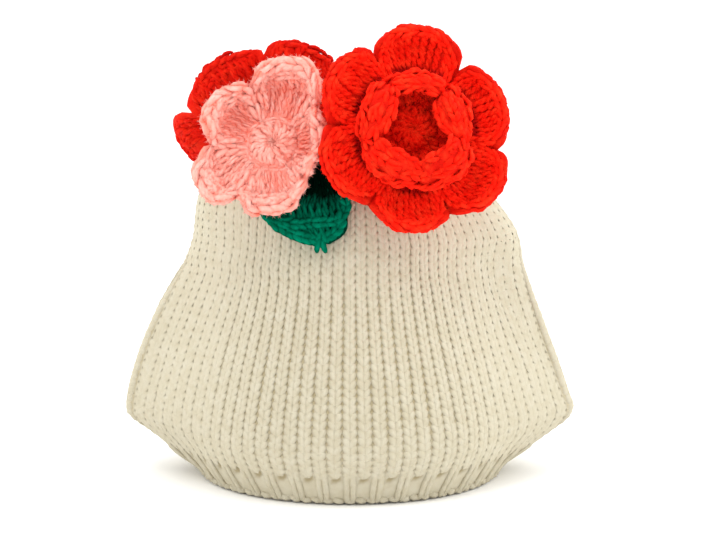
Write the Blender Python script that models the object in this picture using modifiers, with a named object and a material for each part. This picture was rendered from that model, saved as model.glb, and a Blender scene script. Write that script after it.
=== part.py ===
# Knitted tea cosy with crocheted flowers, in metres, +Z up, its front towards -Y.
# The ribbed hem stands on z = 0. Spout slit at -X, handle slit at +X.
import math

import bmesh
import bpy

MM = 0.001

# Knitted cover
KNIT_THICKNESS = 2.6 * MM
PANEL_WALES = 39            # wales of knitting across one panel, one mesh column each
SEAM_GAP = 0.36 * MM        # between the two panels where they are sewn together
RIB_TOP = 10 * MM           # the ribbed hem ends here
RIB_RAISE = 0.75 * MM       # knit wales of the rib stand out this far, purl wales lie back as far

# Outline of the cover: a row for each height up the front.
# left and right are the half widths to the slit edges, depth is to the middle of the front.
# corner is the radius with which the section turns at its sides. All in mm.
COVER_ROWS = (
    # height, left, right, depth, corner
    (0.0, 61.5, 61.0, 62.0, 30),
    (3.0, 65.6, 64.4, 64.2, 26),
    (6.3, 70.6, 69.2, 66.2, 22),
    (9.6, 75.4, 74.8, 68.0, 18),
    (13.0, 79.4, 79.6, 69.8, 14),
    (16.7, 84.2, 84.6, 71.2, 11),
    (20.9, 90.2, 90.4, 72.0, 9),
    (24.7, 94.4, 93.9, 72.3, 8),
    (28.0, 94.8, 94.8, 72.3, 8),
    (34.5, 93.9, 92.8, 72.0, 9),
    (44.5, 91.3, 89.6, 70.2, 11),
    (56.5, 87.4, 85.0, 66.8, 13),
    (68.5, 82.2, 80.4, 62.0, 15),
    (80.5, 75.4, 75.8, 57.4, 17),
    (90.5, 69.0, 72.6, 53.6, 19),
    (100.5, 65.6, 70.6, 50.8, 22),
    (109.5, 64.6, 65.2, 48.8, 24),
    (117.5, 63.2, 59.0, 47.0, 24),
    (124.5, 59.0, 55.0, 44.0, 24),
    (130.5, 50.0, 47.6, 38.6, 22),
    (135.5, 37.0, 36.4, 29.0, 18),
    (138.6, 22.0, 22.0, 18.0, 12),
    (139.6, 12.0, 12.0, 10.5, 8),
    (140.0, 5.0, 5.0, 4.6, 4),
)

# Slits for the spout (side -1) and the handle (side 1), in mm; width is of one panel's share.
SLITS = (
    # side, bottom, top, width
    (-1, 21.0, 91.5, 12.0),
    (1, 21.0, 101.5, 9.0),
)

# Soft folds. across runs from -1 at the left edge of a panel to 1 at the right one,
# and lean is how far across it moves from the fold's bottom to its top. The rest is in mm.
FRONT_FOLDS = (
    # across, lean, bottom, top, half width, depth
    (0.80, -0.06, 56, 123, 7.0, 2.6),
    (0.60, 0.05, 64, 117, 8.0, -1.2),
    (0.36, 0.04, 78, 119, 6.0, 0.9),
    (-0.88, 0.04, 28, 95, 5.0, 1.5),
    (0.93, -0.02, 28, 85, 4.5, 1.2),
    (-0.62, 0.05, 86, 121, 7.0, 0.9),
)
BACK_FOLDS = (
    # across, lean, bottom, top, half width, depth
    (-0.74, 0.05, 60, 121, 7.5, 2.0),
    (0.70, -0.05, 68, 123, 7.0, 1.7),
    (0.12, 0.04, 82, 121, 6.5, 1.1),
    (0.92, -0.03, 30, 91, 5.0, 1.3),
    (-0.93, 0.03, 28, 87, 4.5, 1.2),
)
PLEATS = 9                  # gathers of one panel at the crown
PLEAT_DEPTH = 1.3 * MM
PLEATS_START = 119 * MM

# Crocheted flowers
PETAL_THICKNESS = 2.8 * MM
RING_RADIUS = 9 * MM        # each flower starts from a raised round of stitches this wide
RING_RAISE = 1.8 * MM
RING_WIDTH = 3.2 * MM
POSTS = 5                   # stitches across a petal, raised a little
POST_RAISE = 0.3 * MM
RADIAL_ROWS = 8
CREASE_DEPTH = 1.0 * MM     # the crease between two petals lies back this far

# Sections of a petal from the flower's middle to its tip, in mm: distance out and height.
OPEN_PETAL = (
    (1.6, 0.2), (9, 0.3), (16, -0.8), (24, -0.8), (30, 0.0), (34, 1.8), (36.2, 4.6), (38, 6.4), (40.0, 6.8),
)
CUPPED_PETAL = (
    (1.6, 0.2), (9, 0.2), (14, -1.0), (20, -0.8), (24.4, 0.8), (26.4, 4.0), (27.4, 7.4), (29.4, 9.8), (32.5, 10.2),
)
CURLED_PETAL = (
    (1.6, 0.2), (9, -0.4), (15, 0.8), (19.6, 3.6), (21.8, 7.4), (21.0, 11.2), (17.8, 13.6), (13.8, 14.2), (9.5, 13.0),
)

# Petals, going round. tilt lifts a petal towards the flower's face from the ring outwards, cup is how far
# its edge stands up, used is the share of the section it takes, and notch is how far out the gap before
# the next petal lies.
LARGE_RED_PETALS = (
    # direction in degrees, length in mm, tilt in degrees, cup, used, notch
    (13, 37.2, 2, 1.0, 1.0, 0.74),
    (90, 40.4, -3, 1.1, 1.0, 0.78),
    (144, 41.6, 9, 0.9, 1.0, 0.82),
    (209, 42.0, 9, 0.7, 1.0, 0.86),
    (263, 41.4, 2, 0.8, 1.0, 0.85),
    (317, 41.0, 0, 1.0, 1.0, 0.84),
)
SMALL_RED_PETALS = (
    (13, 19.6, 2, 1.0, 1.0, 0.84),
    (86, 18.8, 0, 1.0, 0.86, 0.84),
    (161, 21.2, 3, 1.0, 0.91, 0.84),
    (235, 23.0, 0, 1.0, 0.87, 0.84),
    (300, 23.2, -2, 1.0, 0.91, 0.84),
)
PINK_PETALS = (
    (3, 22.0, 10, 1.2, 1.0, 0.66),
    (74, 32.2, -4, 1.15, 1.0, 0.50),
    (152, 28.2, 2, 1.2, 1.0, 0.68),
    (216, 34.0, -3, 0.35, 1.0, 0.86),
    (262, 28.0, -2, 0.45, 1.0, 0.84),
)
REAR_RED_PETALS = (
    (-58, 45.2, 2, 1.0, 1.0, 0.72),
    (60, 32.2, -20, 1.0, 1.0, 0.88),
    (122, 40.0, -22, 1.0, 1.0, 0.78),
    (180, 38.5, -4, 1.0, 1.0, 0.78),
    (214, 36.0, 26, 1.0, 1.0, 0.78),
    (246, 36.0, 30, 1.0, 1.0, 0.82),
)

# Flowers: petals, section, how square a petal's end is, and how far in mm its sides stand up.
FLOWERS = {
    "large_red_flower": (LARGE_RED_PETALS, OPEN_PETAL, 2.6, 3.0),
    "small_red_flower": (SMALL_RED_PETALS, CURLED_PETAL, 5.0, 0.4),
    "pink_flower": (PINK_PETALS, CUPPED_PETAL, 2.1, 4.0),
    "rear_red_flower": (REAR_RED_PETALS, OPEN_PETAL, 2.6, 2.0),
}

# Places of the flowers: centre in mm, and the turn of the face in degrees,
# lean back from upright and yaw from the front towards +X.
FLOWER_PLACES = {
    "large_red_flower": ((25.5, -45.2, 149.0), 16, 9),
    "small_red_flower": ((24.5, -45.2, 149.0), 16, 9),
    "pink_flower": ((-30.5, -45.5, 143.7), 22, -4),
    "rear_red_flower": ((-36.0, 12.0, 151.5), 30, 180),
}
SMALL_FLOWER_LIFT = PETAL_THICKNESS + 1.8 * MM

# Leaf: rows from its tucked end to its tip, in mm.
LEAF_THICKNESS = 2.6 * MM
LEAF_COLUMNS = 10
LEAF_ROLL = 1.8 * MM        # its edges roll forwards
LEAF_VEIN = 1.0 * MM
LEAF_ROWS = (
    # height, middle x, front distance, half width
    (137.0, -12.0, 40.0, 5.0),
    (131.0, -13.2, 43.5, 7.8),
    (125.0, -15.2, 47.0, 12.8),
    (119.0, -17.8, 49.8, 18.2),
    (114.5, -17.4, 51.4, 17.4),
    (110.0, -15.6, 52.5, 15.2),
    (107.0, -14.2, 52.7, 11.0),
    (105.2, -13.4, 53.1, 6.6),
    (103.6, -12.4, 53.4, 3.0),
)


def mix(a, b, share):
    return a + (b - a) * share


def ease(value, low, high):
    share = min(max((value - low) / (high - low), 0.0), 1.0)
    return share * share * (3 - 2 * share)


def row_at(rows, height):
    """The row of a table at this height in metres, worked out between its neighbours."""
    z = min(max(height / MM, rows[0][0]), rows[-1][0])
    for low, high in zip(rows, rows[1:]):
        if z <= high[0]:
            share = (z - low[0]) / (high[0] - low[0])
            return [mix(a, b, share) * MM for a, b in zip(low[1:], high[1:])]
    return [value * MM for value in rows[-1][1:]]


def slit_opening(side, height):
    """How far along the section a panel's edge stays back from the side seam."""
    for slit_side, bottom, top, width in SLITS:
        if slit_side == side:
            share = (height / MM - bottom) / (top - bottom)
            if 0 < share < 1:
                return SEAM_GAP / 2 + width * MM * math.sin(math.pi * share) ** 0.6
    return SEAM_GAP / 2


def section_point(across, height):
    """Outline of the front panel at one height, as x, y and the direction it faces.

    Half of it is an arc round the middle, a straight run and an arc round the side's corner.
    """
    side = -1 if across < 0 else 1
    left, right, depth, corner = row_at(COVER_ROWS, height)
    width = left if side < 0 else right
    corner = min(corner, 0.9 * depth)
    back = slit_opening(side, height)
    width += corner * (1 - math.cos(min(back / corner, 1.4)))
    run = math.sqrt(max((width - corner) ** 2 - (depth - corner) ** 2, 0.0))
    turn = math.asin(min((depth - corner) / max(width - corner, depth - corner), 1.0))
    front_arc = depth * turn
    corner_arc = corner * (math.pi / 2 - turn)
    distance = abs(across) * (front_arc + run + corner_arc - back)
    if distance < front_arc:
        angle = distance / depth
        x = depth * math.sin(angle)
        y = -depth * math.cos(angle)
    elif distance < front_arc + run:
        angle = turn
        along = distance - front_arc
        x = depth * math.sin(turn) + along * math.cos(turn)
        y = -depth * math.cos(turn) + along * math.sin(turn)
    else:
        angle = turn + (distance - front_arc - run) / corner
        x = width - corner + corner * math.sin(angle)
        y = -corner * math.cos(angle)
    return side * x, y, side * angle


def fold_depth(across, height, folds):
    depth = 0.0
    for middle, lean, bottom, top, half_width, deep in folds:
        share = (height / MM - bottom) / (top - bottom)
        if 0 < share < 1:
            middle += lean * (share - 0.5)
            half = half_width * MM / (0.085 if height < 80 * MM else 0.07)
            away = (across - middle) / half
            depth += deep * MM * math.sin(math.pi * share) * math.exp(-away * away * 2)
    return depth


def cover_point(across, height, inward, folds, rib):
    """Point of the front panel, inward from its outer face. rib is 1 on a knit wale, -1 on a purl one."""
    x, y, facing = section_point(across, height)
    step = 0.5 * MM
    low_x, low_y, _ = section_point(across, max(height - step, 0.0))
    high_x, high_y, _ = section_point(across, min(height + step, COVER_ROWS[-1][0] * MM))
    out_x = math.sin(facing)
    out_y = -math.cos(facing)
    spread = ((high_x - low_x) * out_x + (high_y - low_y) * out_y) / (2 * step)
    level = 1 / math.sqrt(1 + spread * spread)
    push = fold_depth(across, height, folds) + inward
    push += PLEAT_DEPTH * ease(height, PLEATS_START, PLEATS_START + 14 * MM) * (
        0.5 - 0.5 * math.cos(math.pi * PLEATS * (across + 1))
    )
    push -= RIB_RAISE * rib * (1 - ease(height, RIB_TOP - 3 * MM, RIB_TOP + 3 * MM)) * (inward == 0)
    if height == 0:
        return x - out_x * push, y - out_y * push, 0.0
    return (
        x - out_x * push * level,
        y - out_y * push * level,
        height + spread * push * level,
    )


def bridge_faces(bm, pairs):
    """Closes the rim between an outer face and its inner copy."""
    for edge in [e for e in bm.edges if e.is_boundary]:
        first, second = edge.verts
        if first in pairs and second in pairs:
            bm.faces.new((first, second, pairs[second], pairs[first]))


def add_object(name, bm, collection, material):
    bmesh.ops.recalc_face_normals(bm, faces=bm.faces)
    if bm.calc_volume(signed=True) < 0:
        bmesh.ops.reverse_faces(bm, faces=bm.faces)
    mesh = bpy.data.meshes.new(name)
    bm.to_mesh(mesh)
    bm.free()
    mesh.shade_smooth()
    mesh.materials.append(material)
    obj = bpy.data.objects.new(name, mesh)
    collection.objects.link(obj)
    return obj


def make_panel(name, toward, folds, collection, material):
    """One knitted panel, toward is 1 for the front and -1 for the back."""
    bm = bmesh.new()
    bmesh.ops.create_grid(bm, x_segments=PANEL_WALES, y_segments=len(COVER_ROWS) - 1, size=1)
    outer = list(bm.verts)
    copy = bmesh.ops.duplicate(bm, geom=bm.verts[:] + bm.edges[:] + bm.faces[:])
    pairs = {v: copy["vert_map"][v] for v in outer}
    for vert in outer:
        across = vert.co.x
        row = round((vert.co.y + 1) / 2 * (len(COVER_ROWS) - 1))
        height = COVER_ROWS[row][0] * MM
        wale = round((across + 1) / 2 * PANEL_WALES)
        rib = 1 if wale % 2 else -1
        for target, inward in ((vert, 0.0), (pairs[vert], KNIT_THICKNESS)):
            x, y, z = cover_point(across, height, inward, folds, rib)
            target.co = (x, toward * y, z)
    bridge_faces(bm, pairs)
    return add_object(name, bm, collection, material)


def path_point(path, share):
    """Point on a petal's section at this share of its length."""
    lengths = [math.dist(a, b) for a, b in zip(path, path[1:])]
    distance = share * sum(lengths)
    for (a, b), length in zip(zip(path, path[1:]), lengths):
        if distance <= length:
            return mix(a[0], b[0], distance / length) * MM, mix(a[1], b[1], distance / length) * MM
        distance -= length
    return path[-1][0] * MM, path[-1][1] * MM


def flower_point(column, row, petals, path, square, side_raise):
    """Point on the middle surface of a flower, in its own frame: x right, y up, z towards its face."""
    count = 2 * POSTS
    index = (column // count) % len(petals)
    across = (column % count) / POSTS - 1
    petal = petals[index]
    other = petals[(index + (1 if across > 0 else -1)) % len(petals)]
    gap = (other[0] - petal[0]) % 360 if across > 0 else -((petal[0] - other[0]) % 360)
    side = abs(across)
    angle = math.radians(petal[0] + gap * side / 2)
    share = side ** 4 / 2
    length, tilt, cup, used = (mix(a, b, share) for a, b in zip(petal[1:5], other[1:5]))
    length *= MM
    tilt = math.radians(tilt)
    notch = petal[5] if across > 0 else other[5]
    reach = notch + (1 - notch) * math.sqrt(max(1 - side ** square, 0.0))
    out = row / RADIAL_ROWS
    r, h = path_point(path, used * out * mix(1, reach, out))
    full = max(p[0] for p in path) * MM
    if r > RING_RADIUS:
        stretch = (length - RING_RADIUS) / (full - RING_RADIUS)
        beyond = (r - RING_RADIUS) * stretch
        grow = ease(beyond, 2 * MM, 14 * MM)
        h *= stretch * mix(1, cup, grow)
        r = RING_RADIUS + beyond * math.cos(tilt) - h * math.sin(tilt)
        h = h * math.cos(tilt) + beyond * math.sin(tilt)
        h += grow * (side_raise * MM * cup * ease(side, 0.35, 0.82) - CREASE_DEPTH * side ** 12)
        h += grow * POST_RAISE * (1 if column % 2 else -1) * (side < 0.9) * (row < RADIAL_ROWS)
    else:
        h += RING_RAISE * math.exp(-((r - RING_RADIUS / 2 - MM) / RING_WIDTH) ** 2)
    return r * math.cos(angle), r * math.sin(angle), h


def make_flower(name, collection, material, lift=0.0):
    petals, path, square, side_raise = FLOWERS[name]
    bm = bmesh.new()
    columns = 2 * POSTS * len(petals)
    bmesh.ops.create_grid(bm, x_segments=columns, y_segments=RADIAL_ROWS, size=1)
    for vert in bm.verts:
        column = round((vert.co.x + 1) / 2 * columns) % columns
        row = round((vert.co.y + 1) / 2 * RADIAL_ROWS)
        vert.co = flower_point(column, row, petals, path, square, side_raise)
    bmesh.ops.remove_doubles(bm, verts=bm.verts, dist=0.001 * MM)
    obj = add_object(name, bm, collection, material)
    thicken(obj, PETAL_THICKNESS)
    place_flower(obj, name, lift)


def thicken(obj, thickness):
    solidify = obj.modifiers.new("thickness", "SOLIDIFY")
    solidify.thickness = thickness
    solidify.offset = 0
    solidify.use_even_offset = False


def place_flower(obj, place, lift=0.0):
    (x, y, z), lean, yaw = FLOWER_PLACES[place]
    obj.rotation_euler = (math.radians(90 - lean), 0, math.radians(yaw))
    forward = obj.rotation_euler.to_matrix().col[2]
    obj.location = (
        x * MM + forward.x * lift,
        y * MM + forward.y * lift,
        z * MM + forward.z * lift,
    )


def make_leaf(name, collection, material):
    bm = bmesh.new()
    bmesh.ops.create_grid(bm, x_segments=LEAF_COLUMNS, y_segments=len(LEAF_ROWS) - 1, size=1)
    for vert in bm.verts:
        across = vert.co.x
        row = round((vert.co.y + 1) / 2 * (len(LEAF_ROWS) - 1))
        height, middle, front, half_width = LEAF_ROWS[row]
        forward = LEAF_ROLL * abs(across) ** 3 - LEAF_VEIN * math.exp(-(across / 0.22) ** 2)
        forward *= half_width / LEAF_ROWS[3][3]
        around = half_width * across * MM
        bend = around * around / (2 * 52 * MM)
        vert.co = (middle * MM + around, -front * MM - forward + bend, height * MM)
    obj = add_object(name, bm, collection, material)
    thicken(obj, LEAF_THICKNESS)
    return obj


def wool(name, colour):
    material = bpy.data.materials.new(name)
    material.use_nodes = True
    shader = material.node_tree.nodes["Principled BSDF"]
    shader.inputs["Base Color"].default_value = (*colour, 1)
    shader.inputs["Roughness"].default_value = 0.9
    shader.inputs["Metallic"].default_value = 0
    material.diffuse_color = (*colour, 1)
    return material


def main():
    for obj in list(bpy.data.objects):
        bpy.data.objects.remove(obj)
    collection = bpy.data.collections.new("tea_cosy")
    bpy.context.scene.collection.children.link(collection)
    cream = wool("cream_wool", (0.83, 0.76, 0.61))
    red = wool("red_yarn", (0.88, 0.025, 0.008))
    pink = wool("pink_yarn", (0.93, 0.4, 0.35))
    green = wool("green_yarn", (0.005, 0.16, 0.07))
    make_panel("front_panel", 1, FRONT_FOLDS, collection, cream)
    make_panel("back_panel", -1, BACK_FOLDS, collection, cream)
    make_flower("large_red_flower", collection, red)
    make_flower("small_red_flower", collection, red, SMALL_FLOWER_LIFT)
    make_flower("pink_flower", collection, pink)
    make_flower("rear_red_flower", collection, red)
    make_leaf("leaf", collection, green)


main()
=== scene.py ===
# Knitted tea cosy with crocheted flowers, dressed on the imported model.
# Metres, +Z up, front towards -Y. Tables and shapes are in millimetres until they are placed.
import math
from functools import partial

import bmesh
import bpy
import numpy as np
from mathutils import Euler, Matrix, Vector


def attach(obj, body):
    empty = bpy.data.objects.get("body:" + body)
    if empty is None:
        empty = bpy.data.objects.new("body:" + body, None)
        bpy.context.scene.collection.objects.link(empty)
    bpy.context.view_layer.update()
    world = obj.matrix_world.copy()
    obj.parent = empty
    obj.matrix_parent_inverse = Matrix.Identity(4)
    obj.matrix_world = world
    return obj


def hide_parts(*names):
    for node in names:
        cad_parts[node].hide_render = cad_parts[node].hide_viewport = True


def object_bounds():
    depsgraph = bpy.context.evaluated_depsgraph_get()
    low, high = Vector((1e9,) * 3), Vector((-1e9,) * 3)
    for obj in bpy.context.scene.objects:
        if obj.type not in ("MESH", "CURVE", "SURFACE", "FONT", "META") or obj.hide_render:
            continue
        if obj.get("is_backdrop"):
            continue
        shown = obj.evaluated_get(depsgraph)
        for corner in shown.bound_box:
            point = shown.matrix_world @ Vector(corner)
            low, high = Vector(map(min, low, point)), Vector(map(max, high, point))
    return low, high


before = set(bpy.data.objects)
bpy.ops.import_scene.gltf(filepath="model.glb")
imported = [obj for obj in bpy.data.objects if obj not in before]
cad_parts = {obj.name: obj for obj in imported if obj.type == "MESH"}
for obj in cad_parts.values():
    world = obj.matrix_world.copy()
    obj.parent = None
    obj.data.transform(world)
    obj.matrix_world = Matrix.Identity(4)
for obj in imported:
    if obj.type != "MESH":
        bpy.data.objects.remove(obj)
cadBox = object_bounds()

scene = bpy.context.scene
mm = 0.001


# Camera, floor and light

studio = {
    "target": (0.0021, 0.0, 0.087),
    "distance": 1.10,
    "elevation": 9.0,
    "lens": 132.8,
    "floorSize": 80.0,
    "sky": 0.94,
    "fromBehind": 0.32,      # how much brighter the light from behind is, from above and from both sides
    "fromAbove": 0.5,
    "fromSides": 0.35,
    "keyPower": 4.2,
    "fillPower": 4.5,
}


def mathNode(tree, kind, first, second=None, clamp=False):
    node = tree.nodes.new("ShaderNodeMath")
    node.operation = kind
    node.use_clamp = clamp
    for socket, value in zip(node.inputs, (first, second)):
        if value is None:
            continue
        if isinstance(value, (int, float)):
            socket.default_value = value
        else:
            tree.links.new(value, socket)
    return node.outputs[0]


def addObject(name, data):
    obj = bpy.data.objects.new(name, data)
    scene.collection.objects.link(obj)
    return obj


def toMesh(name, bm):
    mesh = bpy.data.meshes.new(name)
    bm.to_mesh(mesh)
    bm.free()
    return mesh


def setCamera():
    lift = math.radians(studio["elevation"])
    target = Vector(studio["target"])
    place = target + studio["distance"] * Vector((0, -math.cos(lift), math.sin(lift)))
    data = bpy.data.cameras.new("camera")
    data.sensor_width = 36
    data.lens = studio["lens"]
    data.clip_end = 50
    camera = addObject("camera", data)
    camera.location = place
    camera.rotation_euler = (target - place).to_track_quat("-Z", "Y").to_euler()
    scene.camera = camera


def softLight(name, place, size, power, colour):
    data = bpy.data.lights.new(name, "AREA")
    data.shape = "DISK"
    data.size = size
    data.energy = power
    data.color = colour
    light = addObject(name, data)
    light.location = place
    light.rotation_euler = (Vector((0, 0, 0.08)) - Vector(place)).to_track_quat("-Z", "Y").to_euler()


def setStudio():
    bm = bmesh.new()
    bmesh.ops.create_grid(bm, x_segments=2, y_segments=2, size=studio["floorSize"] / 2)
    floor = addObject("floor", toMesh("floor", bm))
    floor.location = (0, 0, -0.0002)
    paper = bpy.data.materials.new("studioPaper")
    paper.use_nodes = True
    shader = paper.node_tree.nodes["Principled BSDF"]
    shader.inputs["Base Color"].default_value = (0.97, 0.97, 0.97, 1)
    shader.inputs["Roughness"].default_value = 0.9
    shader.inputs["Specular IOR Level"].default_value = 0.0
    floor.data.materials.append(paper)
    floor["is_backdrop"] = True
    softLight("key", (-0.45, -0.70, 1.35), 0.7, studio["keyPower"], (1.0, 0.99, 0.97))
    softLight("fill", (1.15, -0.25, 0.95), 1.0, studio["fillPower"], (1.0, 1.0, 1.0))
    world = bpy.data.worlds.new("studio")
    world.use_nodes = True
    tree = world.node_tree
    back = tree.nodes["Background"]
    back.inputs["Color"].default_value = (1, 1, 1, 1)
    way = tree.nodes.new("ShaderNodeSeparateXYZ")
    tree.links.new(tree.nodes.new("ShaderNodeTexCoord").outputs["Generated"], way.inputs[0])
    strength = mathNode(tree, "ABSOLUTE", way.outputs["X"])
    strength = mathNode(tree, "MULTIPLY", strength, studio["fromSides"])
    strength = mathNode(tree, "ADD", strength, studio["sky"])
    for axis, lean in (("Y", studio["fromBehind"]), ("Z", studio["fromAbove"])):
        strength = mathNode(tree, "ADD", strength, mathNode(tree, "MULTIPLY", way.outputs[axis], lean))
    tree.links.new(strength, back.inputs["Strength"])
    plain = tree.nodes.new("ShaderNodeBackground")
    plain.inputs["Color"].default_value = (1, 1, 1, 1)
    path = tree.nodes.new("ShaderNodeLightPath")
    pick = tree.nodes.new("ShaderNodeMixShader")
    for k, output in enumerate((path.outputs["Is Camera Ray"], back.outputs[0], plain.outputs[0])):
        tree.links.new(output, pick.inputs[k])
    tree.links.new(pick.outputs[0], tree.nodes["World Output"].inputs["Surface"])
    scene.world = world
    scene.view_settings.view_transform = "Standard"


setCamera()
setStudio()
print("camera, floor and light are set")


# Wool. One shader group gives every yarn its fibres and the painted shade on its sunken parts.

wools = {
    # contrast is how strongly the painted shade and the fibres darken
    "cream": {
        "slot": "cream_wool",
        "colour": (0.56, 0.512, 0.383),
        "shade": (0.40, 0.335, 0.205),
        "tip": (0.60, 0.56, 0.442),
        "contrast": 0.6,
        "sheen": 0.35,
        "gloss": 0.08,
        "bump": 0.3,
    },
    "red": {
        "slot": "red_yarn",
        "colour": (1.0, 0.014, 0.003),
        "shade": (0.40, 0.002, 0.001),
        "tip": (1.0, 0.055, 0.014),
        "contrast": 0.55,
        "sheen": 0.08,
        "gloss": 0.08,
        "bump": 0.9,
    },
    "pink": {
        "slot": "pink_yarn",
        "colour": (1.0, 0.455, 0.375),
        "shade": (0.94, 0.20, 0.13),
        "tip": (1.0, 0.60, 0.53),
        "contrast": 1.0,
        "sheen": 0.1,
        "gloss": 0.08,
        "bump": 0.5,
    },
    "green": {
        "slot": "green_yarn",
        "colour": (0.0005, 0.150, 0.078),
        "shade": (0.0003, 0.010, 0.005),
        "tip": (0.001, 0.26, 0.145),
        "contrast": 1.0,
        "sheen": 0.0,
        "gloss": 0.0,
        "bump": 0.6,
    },
}


def mixColours(tree, share, first, second):
    node = tree.nodes.new("ShaderNodeMix")
    node.data_type = "RGBA"
    tree.links.new(share, node.inputs["Factor"])
    tree.links.new(first, node.inputs["A"])
    tree.links.new(second, node.inputs["B"])
    return node.outputs["Result"]


def noiseNode(tree, place, scale, detail):
    noise = tree.nodes.new("ShaderNodeTexNoise")
    noise.inputs["Scale"].default_value = scale
    noise.inputs["Detail"].default_value = detail
    tree.links.new(place, noise.inputs["Vector"])
    return noise.outputs["Fac"]


def makeYarnGroup():
    group = bpy.data.node_groups.new("yarnSurface", "ShaderNodeTree")
    for way, sockets in (
        ("INPUT", {"Colour": "Color", "Shade": "Color", "Tip": "Color", "Contrast": "Float"}),
        ("OUTPUT", {"Colour": "Color", "Roughness": "Float", "Height": "Float"}),
    ):
        for name, kind in sockets.items():
            group.interface.new_socket(name=name, in_out=way, socket_type="NodeSocket" + kind)
    given = group.nodes.new("NodeGroupInput")
    result = group.nodes.new("NodeGroupOutput")
    place = group.nodes.new("ShaderNodeTexCoord").outputs["Object"]
    fine = noiseNode(group, place, 1500, 2)
    fibres = noiseNode(group, place, 300, 2)
    broad = noiseNode(group, place, 180, 1)
    # painted shade: each point's paintedShade value darkens it towards the Shade colour
    paintedShade = group.nodes.new("ShaderNodeAttribute")
    paintedShade.attribute_name = "paintedShade"
    deep = mathNode(group, "POWER", paintedShade.outputs["Fac"], 1.3)
    dark = mathNode(group, "MULTIPLY", mathNode(group, "SUBTRACT", 0.5, fibres), 1.1)
    dark = mathNode(group, "ADD", dark, deep)
    dark = mathNode(group, "MULTIPLY", dark, given.outputs["Contrast"], clamp=True)
    light = mathNode(group, "MULTIPLY", mathNode(group, "SUBTRACT", fibres, 0.42), 1.6)
    light = mathNode(group, "ADD", light, mathNode(group, "SUBTRACT", broad, 0.5), clamp=True)
    tint = mixColours(group, light, given.outputs["Colour"], given.outputs["Tip"])
    tint = mixColours(group, dark, tint, given.outputs["Shade"])
    rough = mathNode(group, "ADD", mathNode(group, "MULTIPLY", fine, 0.25), 0.7)
    height = mathNode(group, "ADD", fibres, mathNode(group, "MULTIPLY", fine, 0.6))
    for name, value in (("Colour", tint), ("Roughness", rough), ("Height", height)):
        group.links.new(value, result.inputs[name])
    return group


yarnGroup = makeYarnGroup()


def makeWool(name):
    values = wools[name]
    material = bpy.data.materials.new(name + "Wool")
    material.use_nodes = True
    tree = material.node_tree
    shader = tree.nodes["Principled BSDF"]
    yarn = tree.nodes.new("ShaderNodeGroup")
    yarn.node_tree = yarnGroup
    for tint in ("colour", "shade", "tip"):
        yarn.inputs[tint.capitalize()].default_value = (*values[tint], 1)
    yarn.inputs["Contrast"].default_value = values["contrast"]
    bump = tree.nodes.new("ShaderNodeBump")
    bump.inputs["Strength"].default_value = values["bump"]
    bump.inputs["Distance"].default_value = 0.0004
    for output, socket in (
        (yarn.outputs["Colour"], shader.inputs["Base Color"]),
        (yarn.outputs["Roughness"], shader.inputs["Roughness"]),
        (yarn.outputs["Height"], bump.inputs["Height"]),
        (bump.outputs["Normal"], shader.inputs["Normal"]),
    ):
        tree.links.new(output, socket)
    shader.inputs["Specular IOR Level"].default_value = values["gloss"]
    shader.inputs["Sheen Weight"].default_value = values["sheen"]
    shader.inputs["Sheen Roughness"].default_value = 0.45
    shader.inputs["Sheen Tint"].default_value = (*values["tip"], 1)
    material.diffuse_color = (*values["colour"], 1)
    return material


wool = {name: makeWool(name) for name in wools}
print("wools are mixed")


# Tools: smooth tables, strands of yarn, repeated stitches

def ease(value, low, high):
    share = np.clip((value - low) / (high - low), 0, 1)
    return share * share * (3 - 2 * share)


def smoothTable(rows, step):
    # first column at every step, the others as smooth curves through the rows
    rows = np.array(rows, float)
    slopes = np.gradient(rows[:, 1:], rows[:, 0], axis=0)
    places = np.arange(rows[0, 0], rows[-1, 0], step)
    k = np.clip(np.searchsorted(rows[:, 0], places, side="right") - 1, 0, len(rows) - 2)
    span = (rows[k + 1, 0] - rows[k, 0])[:, None]
    t = (places - rows[k, 0])[:, None] / span
    values = (2 * t ** 3 - 3 * t ** 2 + 1) * rows[k, 1:]
    values += (t ** 3 - 2 * t ** 2 + t) * span * slopes[k]
    values += (3 * t ** 2 - 2 * t ** 3) * rows[k + 1, 1:]
    values += (t ** 3 - t ** 2) * span * slopes[k + 1]
    table = np.column_stack((places, values))
    return np.vstack((table, rows[-1]))


def strandMesh(path, sides):
    # one closed piece of yarn. path rows: x, y, z, half width, half thickness
    # x lies across the row of stitches, y along it and z outwards
    path = np.array(path, float)
    rings = len(path)
    bm = bmesh.new()
    paintedShade = bm.verts.layers.float.new("paintedShade")
    upright = Matrix.Translation((0, 0, (rings - 1) / 2))
    bmesh.ops.create_cone(
        bm, cap_ends=True, segments=sides, radius1=1, radius2=1, depth=rings - 1, matrix=upright
    )
    long = [e for e in bm.edges if abs(e.verts[0].co.z - e.verts[1].co.z) > 0.5]
    bmesh.ops.subdivide_edges(bm, edges=long, cuts=rings - 2, use_grid_fill=True)
    tangents = np.gradient(path[:, :3], axis=0)
    for vert in bm.verts:
        k = min(max(round(vert.co.z), 0), rings - 1)
        turn = math.atan2(vert.co.y, vert.co.x)
        x, y, z, wide, thick = path[k]
        along = Vector(tangents[k]).normalized()
        up = Vector((0, 0, 1))
        up = (up - up.dot(along) * along).normalized()
        out = along.cross(up)
        vert.co = Vector((x, y, z)) + out * (wide * math.cos(turn)) + up * (thick * math.sin(turn))
    top = max(v.co.z for v in bm.verts)
    deepest = min(v.co.z for v in bm.verts)
    # painted shade: darker towards the parts of the strand that lie deepest
    for vert in bm.verts:
        vert[paintedShade] = ((top - vert.co.z) / (top - deepest)) ** 1.5
    bm.normal_update()
    bmesh.ops.recalc_face_normals(bm, faces=bm.faces)
    return toMesh("strand", bm)


def stitchMesh(name, strands, sides=5):
    bm = bmesh.new()
    for path in strands:
        strand = strandMesh(path, sides)
        bm.from_mesh(strand)
        bpy.data.meshes.remove(strand)
    mesh = toMesh(name, bm)
    mesh.shade_smooth()
    return mesh


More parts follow.
